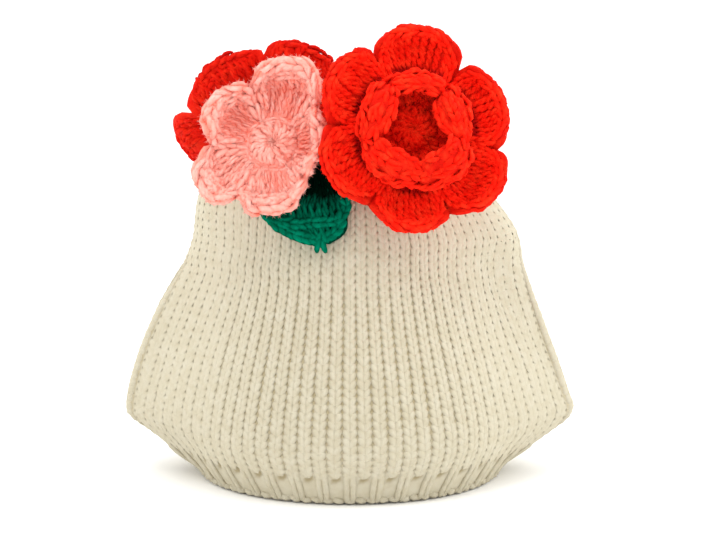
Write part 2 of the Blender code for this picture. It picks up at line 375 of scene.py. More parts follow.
def bothSides(path):
    # a strand and its mirror image, which make the V of a stitch
    return [path, [(-row[0], *row[1:]) for row in path]]


def applyModifiers(obj):
    bpy.context.view_layer.update()
    done = obj.evaluated_get(bpy.context.evaluated_depsgraph_get())
    mesh = bpy.data.meshes.new_from_object(done)
    obj.modifiers.clear()
    obj.data = mesh


def repeatStitch(name, stitch, count):
    # copies of one stitch in one mesh, on top of each other. Gives the object and each copy's points in mm
    obj = addObject(name, stitch)
    array = obj.modifiers.new("copies", "ARRAY")
    array.use_relative_offset = False
    array.count = count
    applyModifiers(obj)
    return obj, meshPoints(obj).reshape(count, -1, 3)


def readAll(items, name, width=1):
    # one value of every item, in rows where it has a width
    values = np.empty(len(items) * width)
    items.foreach_get(name, values)
    return values.reshape(-1, width) if width > 1 else values


def meshPoints(obj):
    return readAll(obj.data.vertices, "co", 3)


def setPoints(obj, points):
    # points in mm, kept off the floor
    points = points.reshape(-1, 3) * mm
    points[:, 2] = np.maximum(points[:, 2], 0.00005)
    obj.data.vertices.foreach_set("co", points.ravel())
    obj.data.update()


def gridCloth(name, columns, rows):
    # flat grid from -1 to 1 each way, with its points
    bm = bmesh.new()
    bmesh.ops.create_grid(bm, x_segments=columns, y_segments=rows, size=1)
    obj = addObject(name, toMesh(name, bm))
    return obj, meshPoints(obj)


def thicken(obj, thickness, offset, paintedShade):
    # gives a cloth its thickness, and the painted shade of each point
    solid = obj.modifiers.new("thickness", "SOLIDIFY")
    solid.thickness = thickness * mm
    solid.offset = offset
    solid.use_even_offset = False
    applyModifiers(obj)
    shadeData = obj.data.attributes.new("paintedShade", "FLOAT", "POINT")
    shadeData.data.foreach_set("value", np.resize(paintedShade, len(obj.data.vertices)))


def finishPiece(obj, woolName, node=None):
    obj.data.materials.clear()
    obj.data.materials.append(wool[woolName])
    obj.data.shade_smooth()
    if node:
        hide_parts(node)
    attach(obj, "root")
    return obj


def unit(vectors):
    return vectors / np.maximum(np.linalg.norm(vectors, axis=-1, keepdims=True), 1e-9)


def asArrays(first, second):
    return np.broadcast_arrays(np.asarray(first, float), np.asarray(second, float))


def facing(spotAt, across, onwards):
    # direction that a surface faces, from the spots beside each spot
    sideways = spotAt(across + 0.01, onwards) - spotAt(across - 0.01, onwards)
    ahead = spotAt(across, onwards + 0.01) - spotAt(across, onwards - 0.01)
    return unit(np.cross(ahead, sideways))


def makeRun(points, normals, count, wide, thick, face=1, **more):
    # a line to lay stitches on, at the face that the normals leave or, with face -1, at the other one
    # wide and thick scale the stitches along it, lift raises them, loose and shift move them about
    more.update(points=points, normals=normals * face, count=count, wide=wide, thick=thick)
    return more


def pickRows(rows, places, distance):
    return np.stack([np.interp(places, distance, rows[:, k]) for k in range(3)], -1)


def layAlong(name, stitch, runs, pitch, rng):
    # stitches one after another along each run
    total = sum(run["count"] for run in runs)
    obj, cells = repeatStitch(name, stitch, total)
    placed = np.empty_like(cells)
    first = 0
    for run in runs:
        points = run["points"]
        steps = np.linalg.norm(np.diff(points, axis=0), axis=1)
        distance = np.concatenate(((0,), np.cumsum(steps)))
        count = run["count"]
        step = distance[-1] / count
        local = cells[first:first + count]
        share = (np.arange(count)[:, None] + local[..., 1] / pitch + run.get("shift", 0)) * step
        inside = np.clip(share, 0, distance[-1])
        normals = unit(pickRows(run["normals"], inside, distance))
        tangents = unit(np.gradient(points, distance, axis=0))
        along = unit(pickRows(tangents, inside, distance))
        centre = pickRows(points, inside, distance) + along * (share - inside)[..., None]
        sideways = unit(np.cross(along, normals))
        wide, thick = (
            np.interp(inside / distance[-1], np.linspace(0, 1, len(run[size])), run[size])
            for size in ("wide", "thick")
        )
        jitter = rng.normal(0, run.get("loose", 0.15), (count, 1, 3))
        spot = centre + sideways * (local[..., 0] * wide)[..., None]
        spot += normals * (local[..., 2] * thick + run.get("lift", 0))[..., None]
        placed[first:first + count] = spot + jitter
        first += count
    setPoints(obj, placed)
    return obj


# adds painted shade to a piece's points, after scaling what they had by share
def addPaintedShade(obj, more, share=1.0):
    shadeData = obj.data.attributes["paintedShade"].data
    shadeData.foreach_set("value", np.maximum(readAll(shadeData, "value") * share + more, 0))


def leanNormals(obj, towards, share):
    # share 1 keeps a point's own normal, 0 gives it the direction towards
    share = share.reshape(-1, 1)
    leant = readAll(obj.data.vertex_normals, "vector", 3) * share + towards.reshape(-1, 3) * (1 - share)
    obj.data.normals_split_custom_set_from_vertices(unit(leant))


fuzz = {
    "sides": 3,
    "root": 0.15,            # how far a fibre starts inside the yarn
    "spread": 0.75,
    "shortest": 0.4,         # shares of the length
    "longest": 1.3,
    "paintedShadeBelow": 0.45,       # fibres stand only on points with less painted shade than this
}


def addFuzz(name, pieces, count, length, thick, woolName, rng):
    # loose fibres, thin cones that stand off the raised side of the yarn
    spots = []
    for piece in pieces:
        normals = readAll(piece.data.vertex_normals, "vector", 3)
        paintedShade = readAll(piece.data.attributes["paintedShade"].data, "value")
        spots.append(np.column_stack((meshPoints(piece) / mm, normals))[paintedShade < fuzz["paintedShadeBelow"]])
    spots = np.vstack(spots)
    spots = spots[rng.integers(0, len(spots), count)]
    root = spots[:, :3] - fuzz["root"] * spots[:, 3:]
    way = unit(spots[:, 3:] + fuzz["spread"] * rng.normal(0, 1, (count, 3)))
    reach = length * rng.uniform(fuzz["shortest"], fuzz["longest"], (count, 1))
    bm = bmesh.new()
    upright = Matrix.Translation((0, 0, 0.5))
    bmesh.ops.create_cone(
        bm, cap_ends=True, segments=fuzz["sides"], radius1=thick, radius2=0, depth=1, matrix=upright
    )
    obj, cells = repeatStitch(name, toMesh("fibre", bm), count)
    first = unit(np.cross(way, (0.31, 0.52, 0.80)))
    second = np.cross(way, first)
    points = root[:, None] + (way * reach)[:, None] * cells[..., 2:3]
    points += first[:, None] * cells[..., 0:1] + second[:, None] * cells[..., 1:2]
    setPoints(obj, points)
    return finishPiece(obj, woolName)


# Knitted cover: the same outline, slits and folds as the solids

cover = {
    "wales": 39,
    "rowPitch": 3.3,
    "ribTop": 11.8,
    "ribRows": 3,
    "strandOut": -0.85,      # middle of the strands, from the outer face
    "clothOut": -0.75,       # cloth behind them
    "clothThickness": 1.6,
    "clothRows": 66,
    "eyeletDeep": 1.5,
    "eyeletShade": 2.5,
    "flatSides": 0.74,       # how much flatter the stitches lie towards the sides, and near the hem
    "flatLow": 0.35,
    "flatHigh": 0.45,
    "looseness": 0.08,
    "seamGap": 0.36,
    "wander": 0.14,
    "pleats": 9,
    "pleatDepth": 1.3,
    "pleatsStart": 119.0,
    "fuzz": (4000, 0.9, 0.055),      # fibres, length, thickness
}

coverRows = (
    # height, left, right, depth, corner
    (0.0, 61.5, 61.0, 62.0, 30),
    (3.0, 65.6, 64.4, 64.2, 26),
    (6.3, 70.6, 69.2, 66.2, 22),
    (9.6, 75.4, 74.8, 68.0, 18),
    (13.0, 79.4, 79.6, 69.8, 14),
    (16.7, 84.2, 84.6, 71.2, 11),
    (20.9, 90.2, 90.4, 72.0, 9),
    (24.7, 94.4, 93.9, 72.3, 8),
    (28.0, 94.8, 94.8, 72.3, 8),
    (34.5, 93.9, 92.8, 72.0, 9),
    (44.5, 91.3, 89.6, 70.2, 11),
    (56.5, 87.4, 85.0, 66.8, 13),
    (68.5, 82.2, 80.4, 62.0, 15),
    (80.5, 75.4, 75.8, 57.4, 17),
    (90.5, 69.0, 72.6, 53.6, 19),
    (100.5, 65.6, 70.6, 50.8, 22),
    (109.5, 64.6, 65.2, 48.8, 24),
    (117.5, 63.2, 59.0, 47.0, 24),
    (124.5, 59.0, 55.0, 44.0, 24),
    (130.5, 50.0, 47.6, 38.6, 22),
    (135.5, 37.0, 36.4, 29.0, 18),
    (138.6, 22.0, 22.0, 18.0, 12),
    (139.6, 12.0, 12.0, 10.5, 8),
    (140.0, 5.0, 5.0, 4.6, 4),
)

slits = {
    # side: bottom, top, width of one panel's share
    -1: (21.0, 91.5, 12.0),
    1: (21.0, 101.5, 9.0),
}

frontFolds = (
    # across, lean, bottom, top, half width, depth
    (0.80, -0.06, 56, 123, 7.0, 2.6),
    (0.60, 0.05, 64, 117, 8.0, -1.2),
    (0.36, 0.04, 78, 119, 6.0, 0.9),
    (-0.88, 0.04, 28, 95, 5.0, 1.5),
    (0.93, -0.02, 28, 85, 4.5, 1.2),
    (-0.62, 0.05, 86, 121, 7.0, 0.9),
)
backFolds = (
    (-0.74, 0.05, 60, 121, 7.5, 2.0),
    (0.70, -0.05, 68, 123, 7.0, 1.7),
    (0.12, 0.04, 82, 121, 6.5, 1.1),
    (0.92, -0.03, 30, 91, 5.0, 1.3),
    (-0.93, 0.03, 28, 87, 4.5, 1.2),
)
panels = {
    "front": {"toward": 1, "folds": frontFolds, "node": "front_panel"},
    "back": {"toward": -1, "folds": backFolds, "node": "back_panel"},
}


def climbTable():
    # the outline again, by the distance climbed along the cloth instead of by height
    rows = np.array(coverRows, float)
    reach = 0.65 * rows[:, 3] + 0.175 * (rows[:, 1] + rows[:, 2])
    climbed = np.concatenate(((0,), np.cumsum(np.hypot(np.diff(reach), np.diff(rows[:, 0])))))
    return smoothTable(np.column_stack((climbed, rows)), 0.5)


climb = climbTable()
climbEnd = climb[-1, 0]


def climbAt(height):
    return np.interp(height, climb[:, 1], climb[:, 0])


def sectionPoint(across, climbed):
    # outline of the front panel at one height, with the direction it faces
    side = np.where(across < 0, -1.0, 1.0)
    height, left, right, depth, corner = (np.interp(climbed, climb[:, 0], climb[:, k]) for k in range(1, 6))
    width = np.where(side < 0, left, right)
    corner = np.minimum(corner, 0.9 * depth)
    bottom, top, wide = (np.where(side < 0, slits[-1][k], slits[1][k]) for k in range(3))
    share = np.clip((height - bottom) / (top - bottom), 0, 1)
    back = cover["seamGap"] / 2 + wide * np.sin(np.pi * share) ** 0.6
    width = width + corner * (1 - np.cos(np.minimum(back / corner, 1.4)))
    run = np.sqrt(np.maximum((width - corner) ** 2 - (depth - corner) ** 2, 0))
    turn = np.arcsin(np.minimum((depth - corner) / np.maximum(width - corner, depth - corner), 1))
    frontArc = depth * turn
    cornerArc = corner * (math.pi / 2 - turn)
    distance = np.abs(across) * (frontArc + run + cornerArc - back)
    onArc = distance < frontArc
    onRun = distance < frontArc + run
    beyond = turn + (distance - frontArc - run) / corner
    angle = np.where(onArc, distance / depth, np.where(onRun, turn, beyond))
    along = np.clip(distance - frontArc, 0, run)
    x = np.where(onRun, depth * np.sin(np.minimum(angle, turn)), (width - corner) + corner * np.sin(angle))
    y = np.where(onRun, -depth * np.cos(np.minimum(angle, turn)), -corner * np.cos(angle))
    x = np.where(onRun, x + along * np.cos(turn), x)
    y = np.where(onRun, y + along * np.sin(turn), y)
    return side * x, y, side * angle, height


def foldDepth(across, height, folds):
    depth = np.zeros_like(across)
    for middle, lean, bottom, top, halfWidth, deep in folds:
        share = np.clip((height - bottom) / (top - bottom), 0, 1)
        half = halfWidth / np.where(height < 80, 85.0, 70.0)
        away = (across - middle - lean * (share - 0.5)) / half
        depth += deep * np.sin(np.pi * share) * np.exp(-2 * away * away)
    return depth


def coverPoint(panel, across, climbed, out):
    # point in mm, out from the panel's outer face, and the direction that the face looks there
    x, y, heading, height = sectionPoint(across, climbed)
    lowX, lowY, _, lowZ = sectionPoint(across, np.maximum(climbed - 0.8, 0))
    highX, highY, _, highZ = sectionPoint(across, np.minimum(climbed + 0.8, climbEnd))
    outX = np.sin(heading)
    outY = -np.cos(heading)
    spread = (highX - lowX) * outX + (highY - lowY) * outY
    rise = highZ - lowZ
    size = np.hypot(spread, rise)
    normal = np.stack((outX * rise / size, outY * rise / size, -spread / size), -1)
    push = foldDepth(across, height, panel["folds"])
    pleat = 0.5 - 0.5 * np.cos(np.pi * cover["pleats"] * (across + 1))
    push += cover["pleatDepth"] * ease(height, cover["pleatsStart"], cover["pleatsStart"] + 14) * pleat
    wander = np.sin(across * 9.1 + height * 0.061 + 1.3)
    wander += np.sin(across * 17.3 - height * 0.093 + panel["toward"])
    push += cover["wander"] * wander * ease(height, 8, 20)
    point = np.stack((x, y, height), -1) + normal * (out - push)[..., None]
    flip = np.array((1, panel["toward"], 1))
    return point * flip, normal * flip


def putOnPanel(obj, panel, across, climbed, out):
    points, normals = coverPoint(panel, across, climbed, out)
    setPoints(obj, points)
    if panel["toward"] < 0:
        obj.data.flip_normals()
    return normals


def stitchRelief(across, climbed):
    sides = 1 - cover["flatSides"] * ease(np.abs(across), 0.22, 0.78)
    low = 1 - cover["flatLow"] * (1 - ease(climbed, climbAt(12), climbAt(40)))
    return sides * low * (1 - cover["flatHigh"] * ease(climbed, climbAt(72), climbAt(104)))


def waleWidth(across, climbed):
    # width of one wale there, in mm
    half = 0.5 / cover["wales"]
    left = sectionPoint(across - half, climbed)
    right = sectionPoint(across + half, climbed)
    return np.hypot(right[0] - left[0], right[1] - left[1])


# leg of a knit stitch, for a wale 5.8 mm wide and rows 3.3 mm high: x, y, z, half width, half thickness
knitLeg = (
    (0.40, -1.35, -0.85, 0.80, 0.60),
    (0.64, 0.00, 0.10, 1.25, 0.92),
    (1.00, 1.45, 0.34, 1.50, 1.00),
    (1.60, 2.80, 0.16, 1.62, 0.98),
    (2.33, 4.05, -0.95, 0.80, 0.52),
)
ribLeg = (
    (1.15, -1.60, -0.40, 1.10, 0.90),
    (1.25, 0.20, 0.15, 1.42, 1.10),
    (1.32, 2.00, 0.20, 1.50, 1.15),
    (1.40, 3.80, 0.10, 1.42, 1.10),
    (1.50, 5.20, -0.50, 1.10, 0.90),
)
purlBump = (
    (-2.90, 0.9, -0.65, 0.80, 0.60),
    (-1.40, 0.3, -0.05, 1.15, 0.80),
    (0.00, 0.0, 0.10, 1.25, 0.85),
    (1.40, 0.3, -0.05, 1.15, 0.80),
    (2.90, 0.9, -0.65, 0.80, 0.60),
)


def knitCloth(side):
    # the cloth itself, behind the strands, with small holes beside the ribs
    panel = panels[side]
    rows = cover["clothRows"]
    obj, grid = gridCloth(side + "_cloth", 2 * cover["wales"], rows)
    across = grid[:, 0] * 0.998
    climbed = (grid[:, 1] + 1) / 2 * (climbEnd - 0.6) + 0.6
    relief = stitchRelief(across, climbed)
    aboveRib = ease(climbed, climbAt(11), climbAt(18))
    wale = (grid[:, 0] + 1) / 2 * cover["wales"]
    besideRib = np.abs(wale % 2 - 0.5) < 0.01
    eyelet = besideRib & (np.abs(climbed - climbAt(cover["ribTop"]) + 0.7) < climbEnd / rows / 2)
    out = cover["clothOut"] + np.maximum(0.5 * (1 - relief) * aboveRib, 0.1) - cover["eyeletDeep"] * eyelet
    putOnPanel(obj, panel, across, climbed, out)
    beside = np.abs(across)
    # painted shade: darker where the stitches stand out more, much darker in the eyelets, and a dark line
    # beside each edge
    paintedShade = (0.45 + 0.9 * relief ** 2) * aboveRib + cover["eyeletShade"] * eyelet
    paintedShade += 0.7 * (beside > 0.95) * (beside < 0.98)
    thicken(obj, cover["clothThickness"], -1, paintedShade)
    return finishPiece(obj, "cream", panel["node"])


def knitStitches(side, rng):
    panel = panels[side]
    wales = cover["wales"]
    bottom = climbAt(cover["ribTop"])
    rows = round((climbEnd - bottom) / cover["rowPitch"])
    pitch = (climbEnd - bottom) / rows
    stitch = stitchMesh("knitStitch", bothSides(knitLeg))
    obj, cells = repeatStitch(side + "_stitches", stitch, rows * wales)
    cells = cells.reshape(rows, wales, -1, 3)
    wale = np.arange(wales)[None, :, None]
    row = np.arange(rows)[:, None, None]
    jitter = rng.normal(0, cover["looseness"], (rows, wales, 1, 3))
    waleDrift = 0.02 * np.sin(row * 0.31 + wale * 1.7) + rng.normal(0, 0.012, (1, wales, 1))
    middle = (wale + 0.5 + waleDrift) / wales * 2 - 1
    climbed = bottom + (row + (cells[..., 1] + jitter[..., 1]) / cover["rowPitch"]) * pitch
    climbed += 1.3 * ((row == 0) & (wale % 2 == 0)) * (cells[..., 1] < 2)
    climbed = np.clip(climbed, 0, climbEnd)
    wide = waleWidth(np.broadcast_to(middle, climbed.shape), climbed)
    scale = np.clip(wide / 5.6, 0.3, 1.08)
    across = middle + (cells[..., 0] + jitter[..., 0]) / 5.8 / wales * 2
    across = np.clip(across, -0.955, 0.955)
    relief = stitchRelief(middle, climbed)
    out = cover["strandOut"] * np.minimum(scale + 0.2, 1)
    out = out + (cells[..., 2] + jitter[..., 2]) * scale * relief
    out += 0.58 * (1 - relief)
    normals = putOnPanel(obj, panel, across, climbed, out)
    relief = np.broadcast_to(relief, out.shape).ravel()
    groove = np.exp(-(cells[..., 0] / 0.8) ** 2).ravel()
    # painted shade on the strands: stronger where the stitches stand out, less in the middle of each V
    addPaintedShade(obj, (0.24 * relief - 0.3 * groove) * relief, 0.35 + 0.65 * relief)
    finishPiece(obj, "cream")
    leanNormals(obj, normals, relief)
    return obj


def knitRib(side, rng):
    # knit wales of the rib on the odd wales, purl bumps on the even ones
    panel = panels[side]
    wales = cover["wales"]
    rows = cover["ribRows"]
    top = climbAt(cover["ribTop"]) + 1.0
    pieces = []
    for name, strands, first, lift, room, nominal, drop in (
        ("_rib", bothSides(ribLeg), 1, 0.25, 1.0, 3.6, 0),
        ("_purl", [purlBump], 0, -0.85, 2.6, 3.0, 0.6),
    ):
        count = len(range(first, wales, 2))
        obj, cells = repeatStitch(side + name, stitchMesh("ribStitch", strands), rows * count)
        cells = cells.reshape(rows, count, -1, 3)
        wale = (first + 2 * np.arange(count))[None, :, None]
        row = np.arange(rows)[:, None, None]
        pitch = (top - room) / rows
        jitter = rng.normal(0, 0.08, (rows, count, 1, 3))
        climbed = 1.0 + (row + 0.15 + (cells[..., 1] + jitter[..., 1]) / nominal) * pitch
        climbed = np.clip(climbed - drop, 0, climbEnd)
        across = (wale + 0.5 + (cells[..., 0] + jitter[..., 0]) / 5.8) / wales * 2 - 1
        across = np.clip(across, -0.997, 0.997)
        out = cover["strandOut"] + cells[..., 2] + jitter[..., 2] + lift
        out -= 0.9 * ease(climbed, top - 2.5, top + 1)
        putOnPanel(obj, panel, across, climbed, out)
        pieces.append(finishPiece(obj, "cream"))
    return pieces


def panelRun(panel, across, climbed, out, *stitches, **more):
    across, climbed = asArrays(across, climbed)
    return makeRun(*coverPoint(panel, across, climbed, out), *stitches, **more)


# loop of the cast-on edge: one slanted strand
edgeLoop = [(
    (-0.60, -0.2, -1.30, 0.75, 0.70),
    (-0.25, 0.8, 0.00, 1.35, 1.20),
    (0.05, 2.3, 0.40, 1.65, 1.35),
    (0.30, 3.8, 0.00, 1.35, 1.20),
    (0.60, 4.8, -1.30, 0.75, 0.70),
)]
# smooth roll beside a slit
edgeRoll = [(
    (0, -1.4, -0.70, 1.10, 0.80),
    (0, 0.3, -0.05, 1.60, 1.20),
    (0, 2.3, 0.10, 1.72, 1.30),
    (0, 4.3, -0.05, 1.60, 1.20),
    (0, 6.0, -0.70, 1.10, 0.80),
)]
# stitch across a seam
seamBar = [(
    (-1.9, 0.0, -1.0, 0.5, 0.45),
    (-0.9, 0.15, 0.0, 0.62, 0.55),
    (0.9, -0.15, 0.0, 0.62, 0.55),
    (1.9, 0.0, -1.0, 0.5, 0.45),
)]


def knitEdges(side, rng):
    # cast-on edge at the bottom, and the rolled edges beside the slits and seams
    panel = panels[side]
    line = np.linspace(-0.985, 0.985, 200)
    bottomRun = panelRun(panel, line, 1.7, -1.0, 43, (1.25, 1.25), (1.1, 1.1), loose=0.12)
    castOn = layAlong(side + "_castOn", stitchMesh("edgeLoop", edgeLoop), [bottomRun], 4.6, rng)
    wide = (1.0, 1.3, 1.3, 1.0)
    thick = (1.0, 1.1, 1.1, 0.9)
    runs = []
    for edge in (-1, 1):
        climbed = np.linspace(climbAt(4.0), climbAt(slits[edge][1] + 22), 160)
        runs.append(panelRun(panel, edge * 0.982, climbed, -1.2, 36, wide, thick, loose=0.05))
    edges = layAlong(side + "_edges", stitchMesh("edgeRoll", edgeRoll, 6), runs, 4.6, rng)
    return [finishPiece(obj, "cream") for obj in (castOn, edges)]


def sewSeams(rng):
    # small stitches that join the panels below and above the slits, and the cord that they run round
    pieces = []
    for name, stitch, pitch, out, size in (
        ("seam_stitches", stitchMesh("seamStitch", seamBar), 3.4, -0.7, (1, 1)),
        ("seam_cord", stitchMesh("seamCord", edgeRoll, 6), 4.6, -1.7, (0.55, 0.55)),
    ):
        runs = []
        for edge in (-1, 1):
            bottom, top, _ = slits[edge]
            for low, high in ((4, bottom - 0.5), (top + 0.5, 138)):
                climbed = np.linspace(climbAt(low), climbAt(high), 60)
                count = round((climbed[-1] - climbed[0]) / pitch)
                run = panelRun(panels["front"], edge * 0.9999, climbed, out, count, size, size, loose=0.08)
                run["points"][:, 1] = 0
                run["normals"][:, 1] = 0
                runs.append(run)
        pieces.append(finishPiece(layAlong(name, stitch, runs, pitch - 0.1, rng), "cream"))
    return pieces


rng = np.random.default_rng(7)
for side in panels:
    cloth = knitCloth(side)
    onCloth = [knitStitches(side, rng), *knitRib(side, rng), *knitEdges(side, rng)]
    onCloth.append(addFuzz(side + "_fuzz", onCloth, *cover["fuzz"], "cream", rng))
    print(side, "panel is knitted")
sewSeams(rng)


# Crocheted flowers: the same petals as the solids

crochet = {
    "ringRadius": 9.0,
    "ringRaise": 2.4,
    "ringWidth": 3.2,
    "clothThickness": 1.5,
    "clothShade": {"red": 0.9, "pink": 0.6},
    "smallFlowerLift": 4.6,
    "bobblesOut": 45,
    "spokes": 15,
}
plainFlower = {
    # a flower has these values where it doesn't give its own
    "crease": (2.2, 12),     # how deep the crease beside a petal is, and how sharp
    "bulge": 0,              # how thick the pad behind a curled petal is
    "uneven": 0.35,
    "bobbles": 0.2,          # how far some stitches stand up
    "deepPosts": 0,          # shade of the posts in the cupped petals
    # darker: painted shade over a whole flower that lies in the shadow of another
    "darker": 0,
    "underPads": 0,          # shade on the posts beneath another flower
}
# sections from the middle of a flower to the edge of a petal: out, up
openPetal = (
    (0.5, 0.2), (9, 0.3), (16, -0.8), (24, -0.8), (30, 0.0),
    (34, 1.8), (36.2, 4.6), (38, 6.4), (40.0, 6.8),
)
cuppedPetal = (
    (0.5, 0.2), (9, 0.2), (14, -1.0), (20, -0.8), (24.4, 0.8),
    (26.4, 4.0), (27.4, 7.4), (29.4, 9.8), (32.5, 10.2),
)
curledPetal = (
    (0.5, 0.2), (9, -0.4), (15, 0.8), (19.6, 3.6), (21.8, 7.4),
    (21.0, 11.2), (17.8, 13.6), (13.8, 14.2), (9.5, 13.0),
)
# rows of petals: direction, length, tilt, cup (how far the edge stands up), used (share of the section) and
# notch (how far out the gap before the next petal lies)
# posts: how many on the front and on the back of a petal. fuzz: fibres, length, thickness
# rounds of chain stitches: how far out, face, width
flowers = {
    "large_red_flower": {
        "wool": "red",
        "place": ((25.5, -45.2, 149.0), 16, 9, 0),
        "section": openPetal,
        "square": 2.6,
        "sideRaise": 3.0,
        "loose": 0.25,
        "underPads": 2.6,
        "petals": (
            (13, 37.2, 2, 1, 1, 0.74),
            (90, 40.4, -3, 1.1, 1, 0.78),
            (144, 41.6, 9, 0.9, 1, 0.82),
            (209, 42, 9, 0.7, 1, 0.86),
            (263, 41.4, 2, 0.8, 1, 0.85),
            (317, 41, 0, 1, 1, 0.84),
        ),
        "posts": (10, 5),
        "rounds": ((0.965, 1, 0.85), (0.975, -1, 0.9)),
        "fuzz": (11000, 1.2, 0.065),
        "flat": (0.085, 0.085),
        "area": 0.0056,
    },
    "small_red_flower": {
        "wool": "red",
        "place": ((24.5, -45.2, 149.0), 16, 9, crochet["smallFlowerLift"]),
        "section": curledPetal,
        "square": 5.0,
        "sideRaise": 0.4,
        "crease": (6.5, 9),
        "bulge": 1.6,
        "uneven": 0.9,
        "loose": 0.6,
        "bobbles": 0.6,
        "petals": (
            (13, 19.6, 2, 1, 1.0, 0.84),
            (86, 18.8, 0, 1, 0.86, 0.84),
            (161, 21.2, 3, 1, 0.91, 0.84),
            (235, 23.0, 0, 1, 0.87, 0.84),
            (300, 23.2, -2, 1, 0.91, 0.84),
        ),
        "posts": (6, 0),
        "rounds": (
            (0.95, 1, 0.8), (0.97, -1, 0.85), (0.86, -1, 0.9),
            (0.75, -1, 0.9), (0.64, -1, 0.9), (0.53, -1, 0.85),
        ),
        "fuzz": (8000, 1.2, 0.065),
        "flat": (0.066, 0.066),
        "area": 0.0041,
    },
    "pink_flower": {
        "wool": "pink",
        "place": ((-30.5, -45.5, 143.7), 22, -4, 0),
        "section": cuppedPetal,
        "square": 2.1,
        "sideRaise": 5.0,
        "uneven": 0.5,
        "loose": 0.42,
        "deepPosts": 0.4,
        "bobbles": 0.0,
        "petals": (
            (3, 22.0, 10, 1.2, 1, 0.66),
            (74, 32.2, -4, 1.15, 1, 0.44),
            (152, 28.2, 2, 1.2, 1, 0.68),
            (216, 34, -3, 0.35, 1, 0.86),
            (262, 28, -2, 0.45, 1, 0.84),
        ),
        "posts": (9, 5),
        "rounds": ((0.955, 1, 1.15), (0.86, 1, 1.0), (0.97, -1, 1.2)),
        "fuzz": (30000, 1.5, 0.06),
        "flat": (0.066, 0.066),
        "area": 0.0033,
    },
    "rear_red_flower": {
        "wool": "red",
        "place": ((-36.0, 12.0, 151.5), 30, 180, 0),
        "section": openPetal,
        "square": 2.6,
        "sideRaise": 2.0,
        "loose": 0.3,
        # painted shade: this flower lies behind the pink one
        "darker": 0.7,
        "petals": (
            (-58, 45.2, 2, 1, 1, 0.72),
            (60, 32.2, -20, 1, 1, 0.88),
            (122, 40, -22, 1, 1, 0.78),
            (180, 38.5, -4, 1, 1, 0.78),
            (214, 36, 26, 1, 1, 0.78),
            (246, 36, 30, 1, 1, 0.82),
        ),
        "posts": (7, 8),
        "rounds": ((0.97, 1, 0.95), (0.96, -1, 0.95), (0.87, -1, 0.85)),
        "fuzz": (5000, 1.2, 0.055),
        "flat": (0.076, 0.076),
        "area": 0.0052,
    },
}


def sectionTable(section):
    rows = np.array(section, float)
    passed = np.concatenate(((0,), np.cumsum(np.hypot(*np.diff(rows, axis=0).T))))
    return smoothTable(np.column_stack((passed / passed[-1], rows)), 0.01)


flowers = {name: {**plainFlower, **flower} for name, flower in flowers.items()}
for flower in flowers.values():
    flower["table"] = sectionTable(flower["section"])
    flower["full"] = max(row[0] for row in flower["section"])


def petalSpot(flower, turn, out):
    # point of the middle surface in the flower's own frame
    # turn is 0 in the middle of the first petal and 1 in the middle of the next
    petals = np.array(flower["petals"], float)
    nearest = np.floor(turn + 0.5)
    across = 2 * (turn - nearest)
    index = nearest.astype(int) % len(petals)
    petal = petals[index]
    other = petals[(index + np.where(across >= 0, 1, -1)) % len(petals)]
    ahead = (other[..., 0] - petal[..., 0]) % 360
    behind = (petal[..., 0] - other[..., 0]) % 360
    gap = np.where(across >= 0, ahead, -behind)
    beside = np.abs(across)
    angle = np.radians(petal[..., 0] + gap * beside / 2)
    share = beside ** 4 / 2
    length, tilt, cup, used = (petal[..., k] + (other[..., k] - petal[..., k]) * share for k in range(1, 5))
    tilt = np.radians(tilt)
    notch = np.where(across >= 0, petal[..., 5], other[..., 5])
    reach = notch + (1 - notch) * np.sqrt(np.maximum(1 - beside ** flower["square"], 0))
    passed = used * out * (1 + (reach - 1) * out)
    table = flower["table"]
    r = np.interp(passed, table[:, 0], table[:, 1])
    h = np.interp(passed, table[:, 0], table[:, 2])
    ring = crochet["ringRadius"]
    stretch = (length - ring) / (flower["full"] - ring)
    beyond = (r - ring) * stretch
    grow = ease(beyond, 2, 14)
    risen = h * stretch * (1 + (cup - 1) * grow)
    crease, sharp = flower["crease"]
    rim = flower["sideRaise"] * cup * ease(beside, 0.35, 0.82) - crease * beside ** sharp
    around = 2 * math.pi * turn / len(petals)
    rim += flower["uneven"] * (np.sin(4 * around + 5 * out) + np.sin(9 * around - 8 * out))
    outerR = ring + beyond * np.cos(tilt) - risen * np.sin(tilt)
    outerH = risen * np.cos(tilt) + beyond * np.sin(tilt) + grow * rim
    innerH = h + crochet["ringRaise"] * np.exp(-((r - ring / 2 - 1) / crochet["ringWidth"]) ** 2)
    far = r > ring
    r = np.where(far, outerR, r)
    h = np.where(far, outerH, innerH)
    return np.stack((r * np.cos(angle), r * np.sin(angle), h), -1)


def petalPoint(flower, turn, out, lift):
    # in the object's frame, lift mm in front of the middle surface, with the direction that it faces
    turn, out = asArrays(turn, out)
    spot = petalSpot(flower, turn, out)
    normal = facing(partial(petalSpot, flower), turn, out)
    beside = 2 * np.abs(turn - np.floor(turn + 0.5))
    lift = lift - flower["bulge"] * ease(out, 0.35, 0.6) * (1 - beside ** 4)
    centre, lean, yaw, raised = flower["place"]
    turnTo = np.array(Euler((math.radians(90 - lean), 0, math.radians(yaw))).to_matrix())
    spot = spot + normal * lift[..., None] + np.array((0, 0, raised))
    return spot @ turnTo.T + np.array(centre), normal @ turnTo.T


def petalRun(flower, turn, out, *stitches, **more):
    around = 2 * math.pi * turn / len(flower["petals"])
    bobbles = np.sin(flower["full"] * around) * np.sin(crochet["bobblesOut"] * out)
    return makeRun(*petalPoint(flower, turn, out, flower["bobbles"] * bobbles), *stitches, **more)


def runLength(run):
    return np.linalg.norm(np.diff(run["points"], axis=0), axis=1).sum()


